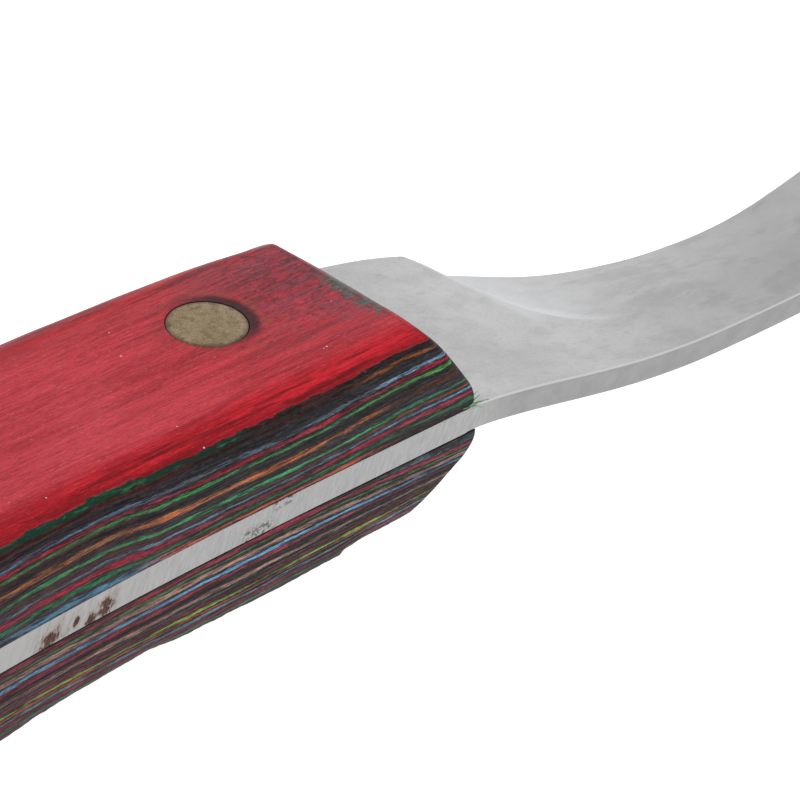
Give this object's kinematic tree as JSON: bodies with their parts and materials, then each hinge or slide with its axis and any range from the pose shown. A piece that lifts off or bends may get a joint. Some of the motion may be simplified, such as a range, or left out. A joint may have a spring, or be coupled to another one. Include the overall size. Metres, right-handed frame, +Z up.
{
  "type": "farrier hoof knife",
  "caption": "Fixed-blade hoof trimming knife: hollow-ground curved steel blade with a curled hook tip, full tang between laminated wood grip scales held by flush brass rivets.",
  "frame": {"origin": "on the flat underside of the lower grip scale, at the middle of the handle's length, 14.7 mm in from the straight near edge of the tang at its front", "axes": "+X from the butt towards the hook tip, +Y towards the cutting edge, +Z up out of the upper scale, on the blade's hollow side"},
  "size_m": [0.2046, 0.0326, 0.0208],
  "materials": {
    "blade_steel": "satin ground carbon steel, bright on the bevel",
    "laminated_wood": "dyed birch veneers pressed with resin, sanded smooth, red face ply over many coloured plies",
    "black_epoxy": "matte",
    "rivet_brass": "dull, handled brass"
  },
  "bodies": {
    "root": {"blade": "blade_steel", "upper_scale": "laminated_wood", "lower_scale": "laminated_wood", "upper_glue_film": "black_epoxy", "lower_glue_film": "black_epoxy", "front_rivet_post": "rivet_brass", "front_rivet_tube": "rivet_brass", "middle_rivet_post": "rivet_brass", "middle_rivet_tube": "rivet_brass", "rear_rivet_post": "rivet_brass", "rear_rivet_tube": "rivet_brass"}
  },
  "joints": []
}
